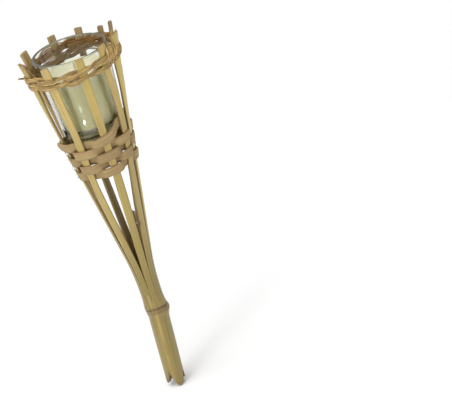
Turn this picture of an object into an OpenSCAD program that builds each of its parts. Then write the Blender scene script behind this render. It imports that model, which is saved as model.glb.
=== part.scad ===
// Bamboo garden torch with a glass candle cup, in millimetres.
// Origin: on the stake's axis at the soil line, just under the node ring. +Z is up along the basket's axis.
// Angles round the torch start at the front (-Y) and grow towards the right (+X).

/* [Culm and stake] */
// Outside diameter of the bamboo above the node
culm_d = 20; // [17:0.1:22]
// Outside diameter of the stake, the internode below the node
stake_d = 19; // [16:0.1:21]
// Diameter over the node ring
node_d = 23.4; // [22.5:0.1:25]
// Thickness of the bamboo's wall
wall = 2.8; // [2.2:0.1:3.4]
// Length of the stake from the soil line to its prongs' tips
stake_len = 78; // [60:1:150]
// Angle that the stake leans to the left at the node, the bamboo's natural bend
stake_lean = 3.3; // [0:0.1:8]
// Depth of the two crossed notches that leave four prongs
notch_depth = 11; // [6:1:16]

/* [Staves] */
// Height where the culm's wall starts to be split into staves
split_z = 26; // [22:1:36]
// Height where a stave has stopped curving outwards and runs straight
straight_z = 66; // [56:1:80]
// How far a stave moves outwards for each millimetre up, where it runs straight
splay = 0.151; // [0.145:0.001:0.16]
// Gap that splitting leaves between two staves
kerf = 0.4; // [0.2:0.1:0.8]
// How much wider a stave is between the culm and the weave than at its base
stave_growth = 1.12; // [1:0.01:1.15]

/* [Basket weave] */
// Height of the top edge of the woven band, at the front
weave_top = 199; // [197:0.5:201]
// Width of a woven splint
splint_w = 7.3; // [6:0.1:7.4]
// Thickness of a woven splint
splint_t = 0.9; // [0.6:0.1:1.1]
// Height from one row to the next
row_pitch = 7.7; // [7.6:0.1:8.2]

/* [Twined binding] */
// Height of the middle of the twined binding, at the front
binding_z = 261; // [256:1:264]
// Width of one strand, up the torch
strand_w = 2.5; // [2:0.1:2.6]
// Thickness of one strand, in and out
strand_t = 1.8; // [1.4:0.1:2]
// Height between the two twined pairs
pair_pitch = 6.4; // [6.2:0.1:7.5]

/* [Glass cup] */
// Outside diameter of the glass at its rim
glass_rim_d = 66.6; // [62:0.2:67]
// Outside diameter of the glass just above its foot
glass_foot_d = 55.4; // [53:0.1:55.6]
// Height of the glass
glass_h = 76.5; // [70:0.5:80]
// Height of the underside of the glass
glass_z = 196.5; // [196:0.1:202]
// Thickness of the glass wall
glass_wall = 2.3; // [1.8:0.1:3]
// Thickness of the heavy glass base
glass_base = 8; // [5:0.5:10]

/* [Candle] */
// Diameter of the candle above its rounded foot
candle_foot_d = 48.6; // [42:0.2:49]
// Diameter of the candle at its top
candle_top_d = 55; // [49:0.2:56]
// Height of the candle
candle_h = 50; // [35:1:55]
// Diameter of the wick
wick_d = 2; // [1.4:0.1:2.6]
// Length of wick above the wax
wick_out = 8; // [5:0.5:10]

/* [Hidden] */
function numbered(name, i) = str(name, "_", i < 10 ? "0" : "", i);

$fn = 96;
culm_r = culm_d / 2;
stake_r = stake_d / 2;
node_r = node_d / 2;
bore_r = stake_r - wall;
node_z = 6.5;
floor_z = 9.5;
tiny = 0.01;

// The culm is split by eye: the angle that each stave takes, and where its middle lies under the weave and at its top
stave_count = 10;
share = [35, 36, 39, 23, 38, 40, 36, 39, 35.5, 38.5];
base_turn = 6.5;
weave_turn = [10, 49, 77, 102, 128, 167, 197, 243, 283, 317];
top_turn = [7, 37, 72, 110, 131, 162, 195, 241, 281, 325];
// How much wider each stave is at its top than at its base
top_width = [1.28, 1.25, 1.1, 0.85, 0.95, 1.1, 1.26, 1.25, 1.3, 1.25];
top_z = [276.5, 279, 279, 280, 274.5, 275, 275, 275.5, 275.5, 275];
turned_z = 150;
bamboo = [0.74, 0.63, 0.38];
splint_colour = [0.76, 0.62, 0.38];
strand_colour = [0.70, 0.54, 0.28];

function clamp(x, low, high) = min(high, max(low, x));
function ease(x) = let (c = clamp(x, 0, 1)) c * c * (3 - 2 * c);
// A point at radius r, turned by a degrees from the front, at height z
function around(r, a, z) = [r * sin(a), -r * cos(a), z];
// Radius of the staves' outer face at height z: a parabola out of the culm, then a straight cone
function outer_r(z) =
    let (run = straight_z - split_z, up = clamp(z - split_z, 0, run))
    culm_r + splay * up * up / (2 * run) + splay * max(0, z - straight_z);
// The angle of the middle of stave i where it is split
function base_angle(i) = i == 0 ? base_turn : base_angle(i - 1) + (share[i - 1] + share[i]) / 2;
// The angle of stave i at height z
function stave_angle(i, z) =
    z < turned_z
    ? base_angle(i) + (weave_turn[i] - base_angle(i)) * ease((z - split_z) / (turned_z - split_z))
    : weave_turn[i] + (top_turn[i] - weave_turn[i]) * (z - turned_z) / (top_z[i] - turned_z);
// The same angle where staves are counted on past a full turn
function lap_angle(i, z) =
    stave_angle((i + 2 * stave_count) % stave_count, z) + 360 * floor(i / stave_count);

// Points along an arc, for a turned outline
function arc(cx, cy, r, from, to, n) =
    [for (k = [0:n]) let (a = from + (to - from) * k / n) [cx + r * cos(a), cy + r * sin(a)]];

// A closed skin over rings of points. A loop joins its last ring to its first, and a strip gets two end caps.
module skin(rings, loop = false) {
    m = len(rings[0]);
    n = len(rings);
    sides = [for (i = [0:n - (loop ? 1 : 2)], j = [0:m - 1])
        let (a = i * m, b = ((i + 1) % n) * m, k = (j + 1) % m)
        [a + j, a + k, b + k, b + j]];
    caps = loop ? [] : [[for (j = [m - 1:-1:0]) j], [for (j = [0:m - 1]) (n - 1) * m + j]];
    polyhedron(points = [for (r = rings) each r], faces = concat(sides, caps), convexity = 8);
}

// ---- Culm: stake with four prongs, node ring and the stub that the staves grow from ----
module lean() rotate([0, stake_lean, 0]) children();

module node_profile() {
    flare_top = 22;
    ridge_r = 1.6;
    proud = 0.5;
    rise = node_r - proud - culm_r;
    polygon(concat(
        [[0, -1], [stake_r + 0.2, -1], [stake_r + 0.35, 1.2], [node_r - 0.9, 4]],
        arc(node_r - ridge_r, node_z - 0.6, ridge_r, -25, 60, 6),
        [for (k = [1:8]) let (t = k / 8) [culm_r + rise * pow(1 - t, 2), node_z + (flare_top - node_z) * t]],
        [[culm_r, split_z], [0, split_z]]
    ));
}

// Two slots across the stake's end, with their corners cut back, leave four points
module prong_cuts() {
    point = stake_r * sin(45) - 0.5;
    side = [[point, -2], [point, -tiny], [3.3, 3.2], [1.5, notch_depth - 0.8], [0.7, notch_depth]];
    for (turn = [66, 156])
        rotate([0, 0, turn])
            translate([0, node_d, -stake_len])
                rotate([90, 0, 0])
                    linear_extrude(2 * node_d)
                        polygon(concat(side, [for (k = [len(side) - 1:-1:0]) [-side[k][0], side[k][1]]]));
}

module culm() {
    color(bamboo)
        difference() {
            union() {
                // The node's underside is a flat shoulder, square to the stake
                difference() {
                    rotate_extrude() node_profile();
                    lean() translate([0, 0, -node_d]) cylinder(h = node_d, r = node_d);
                }
                lean() translate([0, 0, -stake_len]) cylinder(h = stake_len + 2, r = stake_r);
            }
            translate([0, 0, floor_z]) cylinder(h = split_z, r = culm_r - wall);
            lean() translate([0, 0, -stake_len - 1]) cylinder(h = stake_len - 1, r = bore_r);
            lean() prong_cuts();
        }
}

// ---- Staves: the culm's wall split in ten ----
stave_levels = concat(
    [for (k = [0:7]) split_z + (straight_z - split_z) * k / 7],
    [for (k = [1:10]) straight_z + (turned_z + 6 - straight_z) * k / 10]
);

// The stave's outline in plan: an arc of the culm's wall, moved out with the splay
function stave_ring(i, z) =
    let (
        half = share[i] / 2 - asin(kerf / 2 / culm_r),
        free = 1 + (stave_growth - 1) * ease((z - 40) / 35),
        grow = free + (top_width[i] - free) * ease((z - weave_top) / 60),
        a = stave_angle(i, z),
        shift = outer_r(z) - culm_r,
        outer = [for (b = [-1:0.5:1]) [culm_r, b * half * grow]],
        inner = [for (b = [1:-0.5:-1]) [culm_r - wall, b * half * grow]]
    )
    [for (p = concat(outer, inner)) around(shift, a, z) + around(p[0], a + p[1], 0)];

module stave(i) {
    levels = concat(stave_levels, [top_z[i] - 60, top_z[i]]);
    color(bamboo) skin([for (z = levels) stave_ring(i, z)]);
}

// ---- Basket weave: flat splints, each row over and under the staves, its ends lapped ----
// The woven band sits a little lower at the left and the back than at the front and the right
function band_drop(a) = 2.5 * sin(a) - 1.5 * (1 - cos(a));
// The top row arches up over a gap at the front right
arch = 9;
arch_turn = 50;
arch_spread = 27;
function row_z(row, a) =
    let (away = (a + 720 - arch_turn + 180) % 360 - 180)
    weave_top - (row + 0.5) * row_pitch + band_drop(a)
    + (row == 0 ? arch * exp(-pow(away / arch_spread, 2)) : 0);

// The last stave at or before angle a
function stave_before(a, z, i = -1) = lap_angle(i + 1, z) > a ? i : stave_before(a, z, i + 1);
// 1 where a row passes outside stave i, -1 where it passes inside; the top row misses the third stave
function side_of(i, row) =
    (i + row + 2 * stave_count) % 2 == 1 || (row == 0 && (i + stave_count) % stave_count == 2) ? -1 : 1;
// The same at any angle, easing over between staves
function over_under(a, z, row) =
    let (
        i = stave_before(a, z),
        from = lap_angle(i, z),
        u = (a - from) / (lap_angle(i + 1, z) - from),
        turn = sin(90 * clamp(1.4 * cos(180 * u), -1, 1))
    )
    (side_of(i, row) * (1 + turn) + side_of(i + 1, row) * (1 - turn)) / 2;

gap = 0.15;
out_shift = splint_t / 2 + gap;
in_shift = -(wall + 0.65 + splint_t / 2 + gap);
lap_half = 13;
// The splint's middle radius; the second end of a row lies outside its first end
function splint_r(a, z, row, second) =
    let (w = over_under(a, z, row))
    outer_r(z) + (w + 1) / 2 * out_shift + (1 - w) / 2 * in_shift + second * (splint_t + gap);

// Rows start and end over a stave that they pass outside, a different one on each row
function lap_stave(row) = [8, 5, 4, 7, 2][row];

function splint_ring(a, row, second) =
    let (
        z = row_z(row, a),
        r = splint_r(a, z, row, second),
        slope = (row_z(row, a + 1) - row_z(row, a - 1)) / (r * 2 * PI / 180),
        t = splint_t / 2,
        w = splint_w / 2 * sqrt(1 + slope * slope)
    )
    [
        around(r - t - splay * w, a, z - w), around(r + t - splay * w, a, z - w),
        around(r + t + splay * w, a, z + w), around(r - t + splay * w, a, z + w)
    ];

module weave_row(row) {
    steps = 90;
    start = stave_angle(lap_stave(row), weave_top) - lap_half;
    span = 360 + 2 * lap_half;
    color(splint_colour)
        skin([for (k = [0:steps])
            let (t = span * k / steps, a = start + t)
            splint_ring(a, row, ease((t - 334) / 26))]);
}

// ---- Twined binding: pairs of thin strands that cross between the staves ----
// The binding sits higher at the right, where its strands are tied
function binding_rise(a) = 3 * sin(a);

// One strand of a pair winds half a turn from stave to stave round the pair's middle line
function strand_ring(a, pair, first) =
    let (
        z = binding_z + (pair == 0 ? 0.5 : -0.5) * pair_pitch + binding_rise(a),
        i = stave_before(a, z),
        from = lap_angle(i, z),
        u = (a - from) / (lap_angle(i + 1, z) - from),
        wind = 180 * (ease(u) + i + (first ? 0 : 1) + pair),
        out = strand_t / 2 + gap,
        inward = wall + 0.7 + strand_t / 2 + gap,
        middle = outer_r(z) + (out - inward) / 2,
        r = middle + (out + inward) / 2 * cos(wind),
        rise = (strand_w / 2 + 0.25) * sin(wind)
    )
    [for (b = [0:60:300]) around(r + strand_t / 2 * cos(b), a, z + rise + strand_w / 2 * sin(b))];

module strand(pair, first) {
    steps = 90;
    color(strand_colour)
        skin([for (k = [0:steps - 1]) strand_ring(360 * k / steps, pair, first)], loop = true);
}

// ---- Glass cup ----
module glass_cup() {
    foot_r = glass_foot_d / 2;
    rim_r = glass_rim_d / 2;
    heel = 3.2;
    lip = glass_wall / 2;
    bowl = 3;
    color([0.80, 0.90, 0.90, 0.4])
        translate([0, 0, glass_z])
            rotate_extrude()
                polygon(concat(
                    [[0, 0.8], [foot_r - heel - 3, 0.8], [foot_r - heel - 2, 0]],
                    arc(foot_r - heel, heel, heel, -90, 0, 8),
                    arc(rim_r - lip, glass_h - lip, lip, 0, 180, 8),
                    arc(foot_r - glass_wall - bowl, glass_base + bowl, bowl, 0, -90, 6),
                    [[0, glass_base]]
                ));
}

// ---- Candle, wick and wick tab ----
candle_z = glass_z + glass_base;
candle_r = candle_top_d / 2;
tab_r = 9;
tab_t = 0.5;
neck_r = 2;
neck_h = 3.5;

module candle() {
    shoulder = 2;
    foot = 3;
    color([0.92, 0.88, 0.68])
        translate([0, 0, candle_z])
            rotate_extrude()
                polygon(concat(
                    [[tab_r, 0]],
                    arc(candle_foot_d / 2 - foot, foot, foot, -90, 0, 6),
                    arc(candle_r - shoulder, candle_h - shoulder, shoulder, 0, 90, 6),
                    [[candle_r - 8, candle_h - 0.8], [wick_d / 2, candle_h - 1.2]],
                    [[wick_d / 2, neck_h], [neck_r, neck_h], [neck_r, tab_t], [tab_r, tab_t]]
                ));
}

module wick() {
    wick_len = candle_h - 1.2 - tab_t + wick_out;
    color([0.93, 0.91, 0.84])
        translate([0, 0, candle_z + tab_t]) {
            cylinder(h = wick_len - wick_d / 4, r = wick_d / 2);
            translate([0, 0, wick_len - wick_d / 4]) cylinder(h = wick_d / 4, r1 = wick_d / 2, r2 = wick_d / 4);
        }
}

module wick_tab() {
    color([0.72, 0.72, 0.70])
        translate([0, 0, candle_z]) {
            cylinder(h = tab_t, r = tab_r);
            translate([0, 0, tab_t - tiny])
                difference() {
                    cylinder(h = neck_h - tab_t + tiny, r = neck_r);
                    translate([0, 0, tiny]) cylinder(h = neck_h, r = wick_d / 2, $fn = 24);
                }
        }
}

culm();
for (i = [0:9])
    stave(i);
for (j = [0:4])
    weave_row(j);
strand(0, true);  // twine_upper_a
strand(0, false);  // twine_upper_b
strand(1, true);  // twine_lower_a
strand(1, false);  // twine_lower_b
glass_cup();
candle();
wick();
wick_tab();
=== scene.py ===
import math

import bmesh
import bpy
from mathutils import Matrix, Vector, noise


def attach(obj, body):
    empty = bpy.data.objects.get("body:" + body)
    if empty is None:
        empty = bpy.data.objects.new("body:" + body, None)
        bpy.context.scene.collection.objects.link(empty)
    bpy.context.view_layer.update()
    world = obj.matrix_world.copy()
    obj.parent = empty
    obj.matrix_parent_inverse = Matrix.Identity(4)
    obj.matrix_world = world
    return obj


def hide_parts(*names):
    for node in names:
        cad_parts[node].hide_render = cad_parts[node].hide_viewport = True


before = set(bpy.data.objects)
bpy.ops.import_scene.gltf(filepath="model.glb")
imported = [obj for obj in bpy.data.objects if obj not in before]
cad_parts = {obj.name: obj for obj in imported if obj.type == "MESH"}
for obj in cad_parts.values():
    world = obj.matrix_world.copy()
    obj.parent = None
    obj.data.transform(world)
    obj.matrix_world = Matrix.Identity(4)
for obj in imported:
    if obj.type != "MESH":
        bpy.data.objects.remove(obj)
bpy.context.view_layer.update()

# The shapes are worked out in millimetres in the CAD's frame and turned into metres as each mesh is made.
# Angles round the torch are degrees from the front (-Y), growing towards the right (+X).
MM = 0.001

# ---- The sizes of the CAD model ----
CULM_R = 10.0
WALL = 2.8
STAKE_LEN = 78.0
STAKE_LEAN = 3.3
SPLIT_Z = 26.0
STRAIGHT_Z = 66.0
SPLAY = 0.151
SHARE = (35, 36, 39, 23, 38, 40, 36, 39, 35.5, 38.5)
BASE_TURN = 6.5
WEAVE_TURN = (10.5, 47.5, 77, 102, 125, 167, 195.5, 243, 283, 317.5)
TOP_TURN = (7, 37, 69, 110, 131, 162, 195, 241, 281, 325)
TOP_Z = (276.5, 279, 279, 280, 274.5, 275, 275, 275.5, 275.5, 275)
TURNED_Z = 150.0
STAVES = 10
# Height over which each stave takes its place in the weave, above the point where it is split
TURN_RUN = (85, 124, 124, 124, 124, 58, 58, 124, 124, 110)
WEAVE_TOP = 199.0
ROW_PITCH = 7.7
SPLINT_T = 0.9
BINDING_Z = 261.0
PAIR_PITCH = 6.4
GLASS_Z = 196.5
GLASS_H = 76.5
GLASS_WALL = 2.3
GLASS_BASE = 8.0
GLASS_RIM_R = 33.3
GLASS_FOOT_R = 27.7
CANDLE_Z = GLASS_Z + GLASS_BASE
CANDLE_H = 50.0
CANDLE_FOOT_R = 24.3
CANDLE_R = 27.5
WICK_OUT = 8.0
GAP = 0.15

# ---- What the CAD model leaves out ----
# How far each stave bows sideways, in degrees, and the height and spread of the bow
STAVE_BOW = (0, 5.5, -5.5, 0, 0, 0, 0, 0, 0, 6)
BOW_Z, BOW_RUN = 204, 38
# How far the binding draws the cone in, at which height and over what spread
PINCH, PINCH_Z, PINCH_RUN = 0.9, 256, 15
# The staves are thinner where they are woven: by what share, at which height and over what spread
WALL_THIN, THIN_Z, THIN_RUN = 0.2, 178, 26
# The stake's radius under the node and at its points
STAKE_R_TOP, STAKE_R_END = 9.75, 9.1
# The dark line round the node: its mean height, how much higher one side is, and which side
LINE_Z, LINE_RISE, LINE_TURN = 8.6, 1.9, 15


def clamp(x, low=0.0, high=1.0):
    return min(high, max(low, x))


def ease(x):
    c = clamp(x)
    return c * c * (3 - 2 * c)


def lerp(a, b, t):
    return a + (b - a) * t


def table(x, stops):
    """The value at x on a smooth line through (x, value) stops."""
    if x <= stops[0][0]:
        return stops[0][1]
    for (x0, v0), (x1, v1) in zip(stops, stops[1:]):
        if x <= x1:
            return lerp(v0, v1, ease((x - x0) / (x1 - x0)))
    return stops[-1][1]


def wave(x, seed):
    """A smooth random number from about -1 to 1 that changes over about 1 in x."""
    return 1.6 * noise.noise(Vector((x, seed * 17.13 + 0.5, 4.7)))


def wave3(x, y, z, seed=0.0):
    return 1.6 * noise.noise(Vector((x + seed * 9.7, y, z)))


def around(r, a, z):
    t = math.radians(a)
    return Vector((r * math.sin(t), -r * math.cos(t), z))


def turn_apart(a, b):
    return (a - b + 540) % 360 - 180


def radial(p):
    """The way out from the axis at p."""
    return Vector((p.x, p.y, 0)).normalized()


def outer_r(z):
    """Radius of the staves' outer faces: a parabola out of the culm, then a cone, drawn in by the binding."""
    run = STRAIGHT_Z - SPLIT_Z
    up = clamp(z - SPLIT_Z, 0, run)
    pinch = PINCH * math.exp(-((z - PINCH_Z) / PINCH_RUN) ** 2)
    return CULM_R + SPLAY * up * up / (2 * run) + SPLAY * max(0.0, z - STRAIGHT_Z) - pinch


def base_angle(i):
    return BASE_TURN + sum((SHARE[k] + SHARE[k + 1]) / 2 for k in range(i))


def stave_angle(i, z):
    bow = STAVE_BOW[i] * math.exp(-((z - BOW_Z) / BOW_RUN) ** 2)
    if z < TURNED_Z:
        turned_in = ease((z - SPLIT_Z) / TURN_RUN[i])
        return lerp(base_angle(i), WEAVE_TURN[i], turned_in) + bow
    return lerp(WEAVE_TURN[i], TOP_TURN[i], (z - TURNED_Z) / (TOP_Z[i] - TURNED_Z)) + bow


def lap_angle(i, z):
    return stave_angle(i % STAVES, z) + 360 * (i // STAVES)


def between(a, z):
    """(i, u): the last stave at or before angle a, and how far on a is towards the next, from 0 to 1."""
    i = -2
    while lap_angle(i + 1, z) <= a:
        i += 1
    start, end = lap_angle(i, z), lap_angle(i + 1, z)
    return i, (a - start) / (end - start)


# ---- Meshes ----
class Shape:
    """Points and faces of one piece. Each point keeps its place in the straight material it came from."""

    def __init__(self):
        self.points, self.faces, self.straight, self.tone = [], [], [], []

    def point(self, p, straight, tone=(0, 0, 0)):
        self.points.append(Vector(p))
        self.straight.append(tuple(straight))
        self.tone.append(tuple(tone))
        return len(self.points) - 1

    def skin(self, rings, loop=False, caps=True):
        """Faces over rings of point numbers, all of one length."""
        n, m = len(rings), len(rings[0])
        for k in range(n if loop else n - 1):
            a, b = rings[k], rings[(k + 1) % n]
            for j in range(m):
                self.faces.append((a[j], a[(j + 1) % m], b[(j + 1) % m], b[j]))
        if caps and not loop:
            self.faces.append(tuple(reversed(rings[0])))
            self.faces.append(tuple(rings[-1]))

    def fan(self, ring, centre):
        for j in range(len(ring)):
            self.faces.append((ring[j], ring[(j + 1) % len(ring)], centre))

    def ring(self, points, straights, tone):
        return [self.point(p, s, tone) for p, s in zip(points, straights)]


def piece(name, shape, material, body, nodes=(), sharp=38):
    mesh = bpy.data.meshes.new(name)
    mesh.from_pydata([p * MM for p in shape.points], [], shape.faces)
    bm = bmesh.new()
    bm.from_mesh(mesh)
    bmesh.ops.recalc_face_normals(bm, faces=bm.faces)
    bm.to_mesh(mesh)
    bm.free()
    for key, values in (("straight", shape.straight), ("tone", shape.tone)):
        layer = mesh.attributes.new(key, "FLOAT_VECTOR", "POINT")
        layer.data.foreach_set("vector", [c for v in values for c in v])
    mesh.polygons.foreach_set("use_smooth", [True] * len(mesh.polygons))
    mesh.set_sharp_from_angle(angle=math.radians(sharp))
    mesh.materials.append(material)
    obj = bpy.data.objects.new(name, mesh)
    bpy.context.scene.collection.objects.link(obj)
    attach(obj, body)
    if nodes:
        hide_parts(*nodes)
    return obj


def tube(shape, path, radius, flat=1.0, sides=8, tone=(0, 0, 0), rough=0.0, seed=0.0,
         taper=(1, 1), up=None, loop=False):
    """A strand along path.

    radius may change along it, flat squashes it across up, and rough makes its section uneven.
    """
    n = len(path)
    rings, along = [], 0.0
    side0 = None
    for k in range(n):
        here = path[k]
        ahead = path[(k + 1) % n] if loop else path[min(k + 1, n - 1)]
        behind = path[k - 1] if (loop or k) else path[0]
        t = (ahead - behind).normalized()
        along += (here - behind).length if k else 0.0
        u = up(here) if up else (side0 if side0 else Vector((0.31, 0.2, 0.93)))
        u = (u - t * u.dot(t)).normalized()
        if not up:
            side0 = u
        v = t.cross(u)
        r = radius(k / (n - 1)) if callable(radius) else radius
        if not loop:
            r *= lerp(taper[0], 1, ease(k / 6)) * lerp(taper[1], 1, ease((n - 1 - k) / 6))
        points, flats = [], []
        for j in range(sides):
            b = 2 * math.pi * j / sides
            q = r * (1 + rough * wave3(2.1 * math.cos(b), 2.1 * math.sin(b), along / 7, seed))
            points.append(here + u * (q * flat * math.cos(b)) + v * (q * math.sin(b)))
            flats.append((r * math.cos(b) * MM, r * math.sin(b) * MM, (along + seed * 31) * MM))
        rings.append(shape.ring(points, flats, tone))
    shape.skin(rings, loop=loop)


# ---- Materials ----
class Look:
    """A node material built from short calls; every call returns the socket that it makes."""

    def __init__(self, name):
        self.material = bpy.data.materials.new(name)
        self.material.use_nodes = True
        self.tree = self.material.node_tree
        self.tree.nodes.clear()
        self.out = self.add("ShaderNodeOutputMaterial")
        self.shader = self.add("ShaderNodeBsdfPrincipled")
        self.tree.links.new(self.shader.outputs[0], self.out.inputs["Surface"])

    def add(self, kind):
        return self.tree.nodes.new(kind)

    def put(self, socket, value):
        if isinstance(value, bpy.types.NodeSocket):
            self.tree.links.new(value, socket)
        else:
            socket.default_value = value

    def set(self, **values):
        for key, value in values.items():
            self.put(self.shader.inputs[key.replace("_", " ")], value)

    def attribute(self, name):
        node = self.add("ShaderNodeAttribute")
        node.attribute_name = name
        return node.outputs["Vector"]

    def place(self):
        return self.add("ShaderNodeTexCoord").outputs["Object"]

    def split(self, vector):
        node = self.add("ShaderNodeSeparateXYZ")
        self.put(node.inputs[0], vector)
        return node.outputs

    def stretch(self, vector, by):
        node = self.add("ShaderNodeVectorMath")
        node.operation = "MULTIPLY"
        self.put(node.inputs[0], vector)
        node.inputs[1].default_value = by
        return node.outputs[0]

    def noise(self, vector, detail=3.0, rough=0.55, scale=1.0, distortion=0.0):
        node = self.add("ShaderNodeTexNoise")
        self.put(node.inputs["Vector"], vector)
        node.inputs["Scale"].default_value = scale
        node.inputs["Detail"].default_value = detail
        node.inputs["Roughness"].default_value = rough
        node.inputs["Distortion"].default_value = distortion
        return node.outputs["Fac"]

    def ramp(self, factor, *stops):
        """stops are (position, value), a value being a colour or one number."""
        node = self.add("ShaderNodeValToRGB")
        self.put(node.inputs[0], factor)
        bar = node.color_ramp
        while len(bar.elements) < len(stops):
            bar.elements.new(0.5)
        for element, (at, value) in zip(bar.elements, stops):
            element.position = at
            colour = value if isinstance(value, tuple) else (value, value, value)
            element.color = (*colour, 1)
        return node.outputs[0]

    def mix(self, factor, a, b, mode="MIX"):
        node = self.add("ShaderNodeMix")
        node.data_type = "RGBA"
        node.blend_type = mode
        self.put(node.inputs[0], factor)
        for socket, value in ((node.inputs[6], a), (node.inputs[7], b)):
            self.put(socket, (*value, 1) if isinstance(value, tuple) else value)
        return node.outputs[2]

    def rise(self, place, start, run):
        """How far place is above the height start, in runs (both in millimetres)."""
        return self.math("MULTIPLY", self.math("SUBTRACT", self.split(place)[2], start * MM), 1 / (run * MM))

    def math(self, operation, a, b=0.0, c=None):
        node = self.add("ShaderNodeMath")
        node.operation = operation
        self.put(node.inputs[0], a)
        self.put(node.inputs[1], b)
        if c is not None:
            self.put(node.inputs[2], c)
        return node.outputs[0]

    def bump(self, height, distance, strength=1.0, under=None):
        node = self.add("ShaderNodeBump")
        self.put(node.inputs["Height"], height)
        node.inputs["Distance"].default_value = distance
        node.inputs["Strength"].default_value = strength
        if under is not None:
            self.put(node.inputs["Normal"], under)
        return node.outputs[0]


def bamboo_look():
    """Bamboo skin with long fibres, and the cut wood of its inside and edges. tone is (skin, end, shade)."""
    look = Look("bamboo")
    straight = look.attribute("straight")
    skin, end, shade = look.split(look.attribute("tone"))
    streak = look.noise(look.stretch(straight, (520, 520, 9)), detail=4, rough=0.6)
    fine = look.noise(look.stretch(straight, (2300, 2300, 26)), detail=3, rough=0.6)
    patch = look.noise(look.stretch(straight, (70, 70, 22)), detail=3, rough=0.6, distortion=0.6)
    freckle = look.noise(look.stretch(straight, (900, 900, 260)), detail=2, rough=0.7)
    green = look.ramp(streak, (0.28, (0.380, 0.280, 0.073)), (0.46, (0.450, 0.336, 0.092)),
                      (0.60, (0.490, 0.375, 0.108)), (0.78, (0.570, 0.450, 0.150)))
    warm = look.ramp(streak, (0.30, (0.340, 0.215, 0.068)), (0.55, (0.490, 0.345, 0.118)),
                     (0.80, (0.590, 0.435, 0.165)))
    colour = look.mix(look.ramp(patch, (0.46, 0.0), (0.66, 0.85)), green, warm)
    colour = look.mix(look.ramp(freckle, (0.66, 0.0), (0.76, 0.45)), colour, (0.20, 0.13, 0.05))
    wood = look.ramp(fine, (0.30, (0.260, 0.170, 0.068)), (0.50, (0.430, 0.305, 0.128)),
                     (0.72, (0.600, 0.455, 0.210)))
    colour = look.mix(skin, wood, colour)
    burnt = look.mix(look.ramp(fine, (0.35, 0.35), (0.65, 1.0)), (0.14, 0.080, 0.030), (0.27, 0.165, 0.070))
    burning = look.math("MULTIPLY", end, look.ramp(patch, (0.35, 0.6), (0.60, 1.0)))
    colour = look.mix(burning, colour, burnt)
    # The shade channel scales the colour: it carries the culm's painted highlight and the staves' painted
    # shade.
    colour = look.mix(1.0, colour, look.ramp(shade, (0.0, 0.38), (0.5, 0.80), (1.0, 1.12)), "MULTIPLY")
    look.set(Base_Color=colour)
    polish = look.ramp(streak, (0.3, 0.25), (0.7, 0.36))
    look.set(Roughness=look.math("ADD", polish, look.math("MULTIPLY_ADD", skin, -0.25, 0.25)))
    look.set(Specular_IOR_Level=0.42)
    grain = look.bump(fine, 0.00012, 0.75)
    look.set(Normal=look.bump(streak, 0.00022, 0.7, grain))
    return look.material


def splint_look():
    """Split bamboo strip, matte and fibrous, reddish in places. tone is (outer face, edge, shade)."""
    look = Look("splint")
    straight = look.attribute("straight")
    face, edge, shade = look.split(look.attribute("tone"))
    fibre = look.noise(look.stretch(straight, (30, 1500, 24)), detail=4, rough=0.65)
    hair = look.noise(look.stretch(straight, (300, 4200, 60)), detail=2, rough=0.6)
    stretch = look.noise(look.stretch(straight, (12, 60, 34)), detail=3, rough=0.6)
    colour = look.ramp(fibre, (0.26, (0.290, 0.182, 0.070)), (0.44, (0.425, 0.292, 0.122)),
                       (0.60, (0.515, 0.375, 0.163)), (0.80, (0.625, 0.485, 0.232)))
    pink = look.ramp(fibre, (0.28, (0.320, 0.190, 0.080)), (0.55, (0.495, 0.325, 0.145)),
                     (0.80, (0.620, 0.435, 0.225)))
    colour = look.mix(look.ramp(stretch, (0.48, 0.0), (0.62, 0.9)), colour, pink)
    colour = look.mix(look.ramp(hair, (0.62, 0.0), (0.74, 0.55)), colour, (0.22, 0.13, 0.055))
    colour = look.mix(look.math("MULTIPLY", edge, 0.6), colour, (0.26, 0.155, 0.068))
    colour = look.mix(1.0, colour, look.ramp(shade, (0.0, 0.55), (0.5, 0.86), (1.0, 1.12)), "MULTIPLY")
    look.set(Base_Color=colour, Roughness=look.ramp(fibre, (0.3, 0.52), (0.7, 0.68)), Specular_IOR_Level=0.35)
    fine = look.bump(hair, 0.00010, 0.8)
    look.set(Normal=look.bump(fibre, 0.00035, 0.9, fine))
    return look.material


def vine_look():
    """Peeled vine, golden brown, darker in its grooves, with painted shade making it darker and redder at the
    back. tone is (0, end, shade).
    """
    look = Look("vine")
    straight = look.attribute("straight")
    _, end, shade = look.split(look.attribute("tone"))
    fibre = look.noise(look.stretch(straight, (1500, 1500, 70)), detail=4, rough=0.65)
    knot = look.noise(look.stretch(straight, (160, 160, 90)), detail=3, rough=0.6)
    colour = look.ramp(fibre, (0.28, (0.190, 0.110, 0.036)), (0.44, (0.430, 0.280, 0.095)),
                       (0.58, (0.590, 0.420, 0.160)), (0.76, (0.740, 0.570, 0.260)))
    colour = look.mix(look.ramp(knot, (0.50, 0.0), (0.66, 0.85)), colour, (0.285, 0.135, 0.052))
    # Painted shade: the colour is darkened and reddened towards the back (+Y).
    back = look.math("MULTIPLY", look.split(look.place())[1], 1 / (30 * MM))
    colour = look.mix(look.ramp(back, (0.1, 0.0), (0.8, 0.7)), colour, (0.84, 0.56, 0.38), "MULTIPLY")
    colour = look.mix(end, colour, (0.10, 0.072, 0.045))
    colour = look.mix(1.0, colour, look.ramp(shade, (0.0, 0.5), (0.5, 0.9), (1.0, 1.35)), "MULTIPLY")
    look.set(Base_Color=colour, Roughness=look.ramp(fibre, (0.3, 0.50), (0.7, 0.70)), Specular_IOR_Level=0.35)
    look.set(Normal=look.bump(fibre, 0.00030, 0.9, look.bump(knot, 0.0003, 0.4)))
    return look.material


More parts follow.
